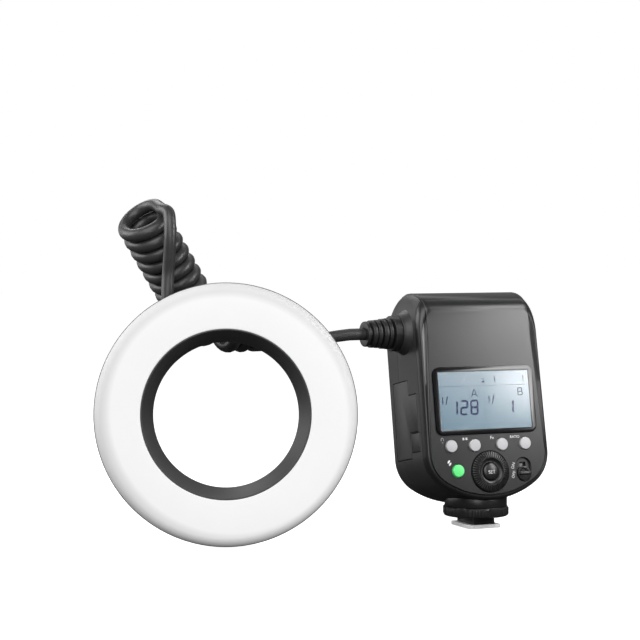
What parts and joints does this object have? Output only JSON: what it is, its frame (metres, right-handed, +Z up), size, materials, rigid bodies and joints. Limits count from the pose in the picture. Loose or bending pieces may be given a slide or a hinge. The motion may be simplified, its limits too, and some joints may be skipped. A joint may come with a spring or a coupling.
{
  "type": "macro ring flash",
  "caption": "Macro ring flash: round flash head with a clear lens opening, joined by a curly cord to a shoe-mount control unit with display, buttons, select dial and slide-out battery.",
  "frame": {"origin": "centre of the shoe foot's underside", "axes": "-Y is the display side, +Y the way the foot slides into a camera's shoe, +X to the right as seen from the display side, +Z up"},
  "size_m": [0.2512, 0.103, 0.1771],
  "materials": {
    "body_charcoal": "fine satin grain",
    "gloss_black": "polished",
    "window_clear": "clear and polished",
    "screen_blue": "lit display, blue",
    "light_guide_white": "translucent",
    "key_grey": "satin",
    "key_green": "lit, translucent",
    "dial_black": "satin",
    "inner_black": "plain",
    "inner_steel": "plain",
    "board_green": "solder mask",
    "capacitor_sleeve": "shrink sleeve",
    "battery_charcoal": "fine satin grain",
    "boot_rubber": "matt",
    "screw_steel": "plain",
    "shoe_black": "satin",
    "foot_metal": "bright",
    "contact_brass": "plated",
    "diffuser_white": "opal, translucent",
    "ring_black": "fine satin grain",
    "reflector_bright": "mirror bright",
    "tube_glass": "clear",
    "holder_white": "plain",
    "cord_rubber": "satin"
  },
  "bodies": {
    "control_unit": {"face_cover": "body_charcoal", "main_shell": "body_charcoal", "rear_cover": "body_charcoal", "lcd_bezel": "gloss_black", "lcd_window": "window_clear", "lcd_panel": "screen_blue", "lcd_backlight": "light_guide_white", "dial_encoder": "inner_black", "switch_body": "inner_steel", "main_board": "board_green", "key_switches": "inner_steel", "main_capacitor": "capacitor_sleeve", "battery_terminal": "inner_black", "cable_boot": "boot_rubber", "body_screws": "screw_steel", "shoe_collar": "shoe_black", "foot_neck": "shoe_black", "foot_plate": "foot_metal", "foot_insulator": "inner_black", "foot_screws": "screw_steel", "cord_lead": "cord_rubber", "cord_curls": "cord_rubber"},
    "ring_head": {"diffuser": "diffuser_white", "inner_bezel": "ring_black", "reflector": "reflector_bright", "flash_tube_a": "tube_glass", "flash_tube_b": "tube_glass", "tube_holders": "holder_white", "trigger_board": "board_green", "ring_housing": "ring_black", "ring_boot": "boot_rubber", "ring_screws": "screw_steel", "cord_tail": "cord_rubber"},
    "function_button_1": {"function_button_1": "key_grey"},
    "function_button_2": {"function_button_2": "key_grey"},
    "function_button_3": {"function_button_3": "key_grey"},
    "function_button_4": {"function_button_4": "key_grey"},
    "test_button": {"test_button": "key_green"},
    "set_button": {"set_button": "dial_black"},
    "select_dial": {"select_dial": "dial_black"},
    "power_switch": {"power_switch": "dial_black"},
    "battery_pack": {"battery_pack": "battery_charcoal"},
    "battery_latch": {"battery_latch": "battery_charcoal"},
    "lock_wheel": {"lock_wheel": "shoe_black"},
    "lock_pin": {"lock_pin": "screw_steel"},
    "contact_pins": {"contact_pins": "contact_brass"},
    "release_button_left": {"release_button_left": "ring_black"},
    "release_button_right": {"release_button_right": "ring_black"}
  },
  "joints": [
    {"name": "function_button_1_press", "type": "slide", "parent": "control_unit", "child": "function_button_1", "axis": [0, 0.9836, -0.1805], "range_m": [0, 0.0007], "stiffness_N_per_m": 200},
    {"name": "function_button_2_press", "type": "slide", "parent": "control_unit", "child": "function_button_2", "axis": [0, 0.9836, -0.1805], "range_m": [0, 0.0007], "stiffness_N_per_m": 200},
    {"name": "function_button_3_press", "type": "slide", "parent": "control_unit", "child": "function_button_3", "axis": [0, 0.9836, -0.1805], "range_m": [0, 0.0007], "stiffness_N_per_m": 200},
    {"name": "function_button_4_press", "type": "slide", "parent": "control_unit", "child": "function_button_4", "axis": [0, 0.9836, -0.1805], "range_m": [0, 0.0007], "stiffness_N_per_m": 200},
    {"name": "test_button_press", "type": "slide", "parent": "control_unit", "child": "test_button", "axis": [0, 0.9836, -0.1805], "range_m": [0, 0.0007], "stiffness_N_per_m": 200},
    {"name": "set_button_press", "type": "slide", "parent": "control_unit", "child": "set_button", "axis": [0, 0.9836, -0.1805], "range_m": [0, 0.0007], "stiffness_N_per_m": 200},
    {"name": "select_dial_turn", "type": "hinge", "parent": "control_unit", "child": "select_dial", "pos_m": [0, -0.0169, 0.03157], "axis": [0, -0.9836, 0.1805], "continuous": true},
    {"name": "power_switch_slide", "type": "slide", "parent": "control_unit", "child": "power_switch", "axis": [0, 0.1805, 0.9836], "range_m": [0, 0.0042]},
    {"name": "battery_slide", "type": "slide", "parent": "control_unit", "child": "battery_pack", "axis": [-1, 0, 0], "range_m": [0, 0.062]},
    {"name": "battery_latch_press", "type": "slide", "parent": "control_unit", "child": "battery_latch", "axis": [1, 0, 0], "range_m": [0, 0.0012], "stiffness_N_per_m": 250},
    {"name": "lock_wheel_turn", "type": "hinge", "parent": "control_unit", "child": "lock_wheel", "pos_m": [0, 0, 0.0089], "axis": [0, 0, 1], "range_deg": [0, 120]},
    {"name": "lock_pin_drop", "type": "slide", "parent": "control_unit", "child": "lock_pin", "axis": [0, 0, -1], "range_m": [0, 0.0012]},
    {"name": "contact_pins_press", "type": "slide", "parent": "control_unit", "child": "contact_pins", "axis": [0, 0, 1], "range_m": [0, 0.0008], "stiffness_N_per_m": 300},
    {"name": "ring_pull", "type": "slide", "parent": "control_unit", "child": "ring_head", "axis": [-0.9379, 0.3469, 0], "range_m": [0, 0.1], "stiffness_N_per_m": 8, "deforming": ["cord_curls"]},
    {"name": "release_button_left_press", "type": "slide", "parent": "ring_head", "child": "release_button_left", "axis": [0.9379, -0.3469, 0], "range_m": [0, 0.002], "stiffness_N_per_m": 200},
    {"name": "release_button_right_press", "type": "slide", "parent": "ring_head", "child": "release_button_right", "axis": [-0.9379, 0.3469, 0], "range_m": [0, 0.002], "stiffness_N_per_m": 200}
  ],
  "couplings": [
    {"joint": "lock_pin_drop", "follows": "lock_wheel_turn", "m_per_rad": 0.00057}
  ]
}
